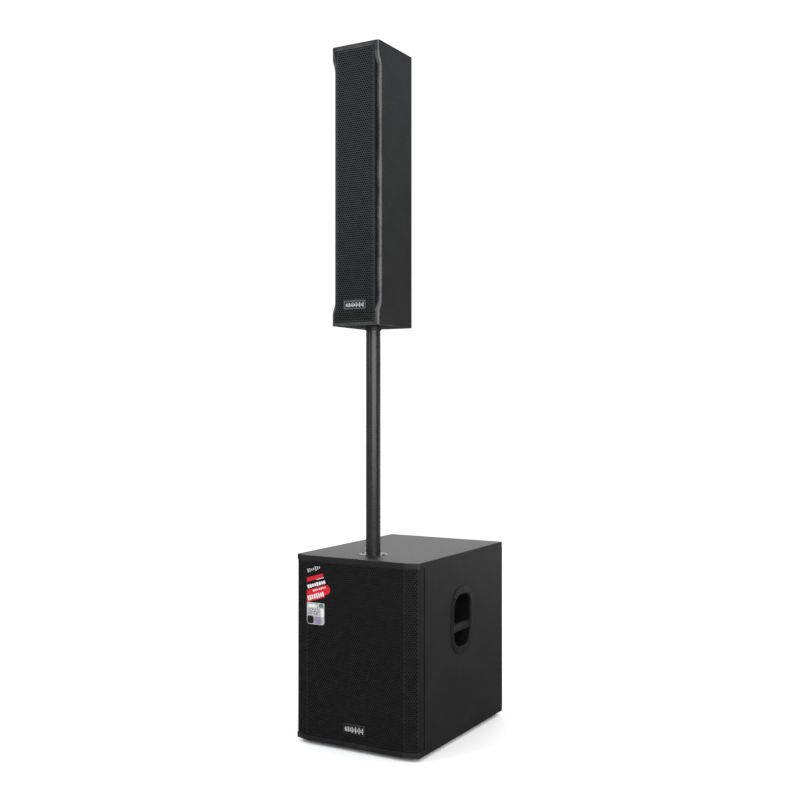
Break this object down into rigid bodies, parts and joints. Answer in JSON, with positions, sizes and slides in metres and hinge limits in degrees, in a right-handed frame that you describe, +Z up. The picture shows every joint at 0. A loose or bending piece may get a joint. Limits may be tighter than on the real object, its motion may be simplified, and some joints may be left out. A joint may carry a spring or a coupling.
{
  "type": "column array loudspeaker system",
  "caption": "Powered subwoofer with a slim column loudspeaker standing on a round pole in its top.",
  "frame": {"origin": "under the middle of the subwoofer, on the floor plane of its feet", "axes": "+Z up, -Y towards the audience (grille side), +X to the right seen from the front"},
  "size_m": [0.377, 0.506, 1.815],
  "materials": {
    "cabinet_paint": "black textured cabinet paint over birch plywood",
    "grille_steel": "black powder coat on perforated steel",
    "foam": "open-cell acoustic foam, black",
    "badge": "brushed, clear anodised with black fill",
    "rubber": "moulded, matte",
    "handle_plastic": "fine-textured moulded ABS",
    "screw_black": "black oxide",
    "basket_paint": "black baked enamel",
    "ferrite": "sintered ferrite ring",
    "motor_steel": "zinc plated",
    "cone_paper": "pressed paper cone",
    "suspension_cloth": "resin-dipped cotton",
    "copper": "enamelled copper winding",
    "amp_paint": "black powder coat",
    "heat_sink": "black anodised extrusion",
    "housing_steel": "galvanised sheet",
    "circuit": "solder-masked glass laminate",
    "transformer": "taped winding",
    "socket_plastic": "glass-filled nylon",
    "knob_plastic": "soft-touch",
    "rocker_plastic": "polished",
    "light_lens": "clear-tinted lens",
    "pole_paint": "black satin enamel on steel tube",
    "socket_metal": "black enamelled steel"
  },
  "bodies": {
    "subwoofer": {"sub_top_panel": "cabinet_paint", "sub_bottom_panel": "cabinet_paint", "sub_side_panel_left": "cabinet_paint", "sub_side_panel_right": "cabinet_paint", "sub_back_panel": "cabinet_paint", "sub_baffle": "cabinet_paint", "sub_grille": "grille_steel", "sub_grille_foam": "foam", "sub_badge": "badge", "rubber_feet": "rubber", "handle_left": "handle_plastic", "handle_right": "handle_plastic", "cabinet_screws": "screw_black", "woofer_basket": "basket_paint", "woofer_magnet": "ferrite", "woofer_motor_plates": "motor_steel", "woofer_screws": "screw_black", "woofer_surround": "rubber", "woofer_spider": "suspension_cloth", "port_tubes": "handle_plastic", "amp_plate": "amp_paint", "amp_heat_sink": "heat_sink", "amp_housing": "housing_steel", "amp_circuit_board": "circuit", "amp_transformer": "transformer", "amp_sockets": "socket_plastic", "mains_inlet": "socket_plastic", "status_lights": "light_lens", "pole_socket": "socket_metal"},
    "woofer_moving": {"woofer_cone": "cone_paper", "woofer_dust_cap": "cone_paper", "woofer_voice_coil": "copper"},
    "sub_level_knob": {"knob_sub_level": "knob_plastic"},
    "column_level_knob": {"knob_column_level": "knob_plastic"},
    "crossover_knob": {"knob_crossover": "knob_plastic"},
    "rocker": {"power_rocker": "rocker_plastic"},
    "button": {"phase_button": "knob_plastic"},
    "drawer": {"fuse_drawer": "socket_plastic"},
    "pole_tube": {"pole": "pole_paint"},
    "column": {"column_top_panel": "cabinet_paint", "column_bottom_panel": "cabinet_paint", "column_side_left": "cabinet_paint", "column_side_right": "cabinet_paint", "column_back_panel": "cabinet_paint", "column_baffle": "cabinet_paint", "column_grille": "grille_steel", "column_grille_foam": "foam", "column_badge": "badge", "column_pole_socket": "socket_metal", "mid_driver_frames": "basket_paint", "mid_surrounds": "rubber", "horn": "socket_plastic", "compression_driver": "ferrite", "connector_plate": "amp_paint", "connector_sockets": "socket_plastic", "crossover_board": "circuit"},
    "mid_moving_1": {"mid_cone_1": "cone_paper"},
    "mid_moving_2": {"mid_cone_2": "cone_paper"},
    "mid_moving_3": {"mid_cone_3": "cone_paper"},
    "mid_moving_4": {"mid_cone_4": "cone_paper"}
  },
  "joints": [
    {"name": "pole_lift", "type": "slide", "parent": "subwoofer", "child": "pole_tube", "axis": [0, 0, 1], "range_m": [0, 0.08]},
    {"name": "column_swivel", "type": "hinge", "parent": "pole_tube", "child": "column", "pos_m": [0, -0.157, 1.12], "axis": [0, 0, 1], "continuous": true},
    {"name": "woofer_stroke", "type": "slide", "parent": "subwoofer", "child": "woofer_moving", "axis": [0, -1, 0], "range_m": [-0.006, 0.006], "stiffness_N_per_m": 2500, "deforming": ["woofer_surround", "woofer_spider"]},
    {"name": "mid_stroke_1", "type": "slide", "parent": "column", "child": "mid_moving_1", "axis": [0, -1, 0], "range_m": [-0.0025, 0.0025], "stiffness_N_per_m": 1500, "deforming": ["mid_surrounds"]},
    {"name": "mid_stroke_2", "type": "slide", "parent": "column", "child": "mid_moving_2", "axis": [0, -1, 0], "range_m": [-0.0025, 0.0025], "stiffness_N_per_m": 1500},
    {"name": "mid_stroke_3", "type": "slide", "parent": "column", "child": "mid_moving_3", "axis": [0, -1, 0], "range_m": [-0.0025, 0.0025], "stiffness_N_per_m": 1500},
    {"name": "mid_stroke_4", "type": "slide", "parent": "column", "child": "mid_moving_4", "axis": [0, -1, 0], "range_m": [-0.0025, 0.0025], "stiffness_N_per_m": 1500},
    {"name": "sub_level_turn", "type": "hinge", "parent": "subwoofer", "child": "sub_level_knob", "pos_m": [0.078, 0.238, 0.375], "axis": [0, 1, 0], "range_deg": [-150, 150]},
    {"name": "column_level_turn", "type": "hinge", "parent": "subwoofer", "child": "column_level_knob", "pos_m": [0.034, 0.238, 0.375], "axis": [0, 1, 0], "range_deg": [-150, 150]},
    {"name": "crossover_turn", "type": "hinge", "parent": "subwoofer", "child": "crossover_knob", "pos_m": [-0.01, 0.238, 0.375], "axis": [0, 1, 0], "range_deg": [-150, 150]},
    {"name": "power_rock", "type": "hinge", "parent": "subwoofer", "child": "rocker", "pos_m": [0.0215, 0.2356, 0.125], "axis": [1, 0, 0], "range_deg": [-18, 0]},
    {"name": "phase_press", "type": "slide", "parent": "subwoofer", "child": "button", "axis": [0, -1, 0], "range_m": [0, 0.003], "stiffness_N_per_m": 300},
    {"name": "fuse_pull", "type": "slide", "parent": "subwoofer", "child": "drawer", "axis": [0, 1, 0], "range_m": [0, 0.018]}
  ],
  "couplings": [
    {"joint": "mid_stroke_2", "follows": "mid_stroke_1", "ratio": 1},
    {"joint": "mid_stroke_3", "follows": "mid_stroke_1", "ratio": 1},
    {"joint": "mid_stroke_4", "follows": "mid_stroke_1", "ratio": 1}
  ]
}
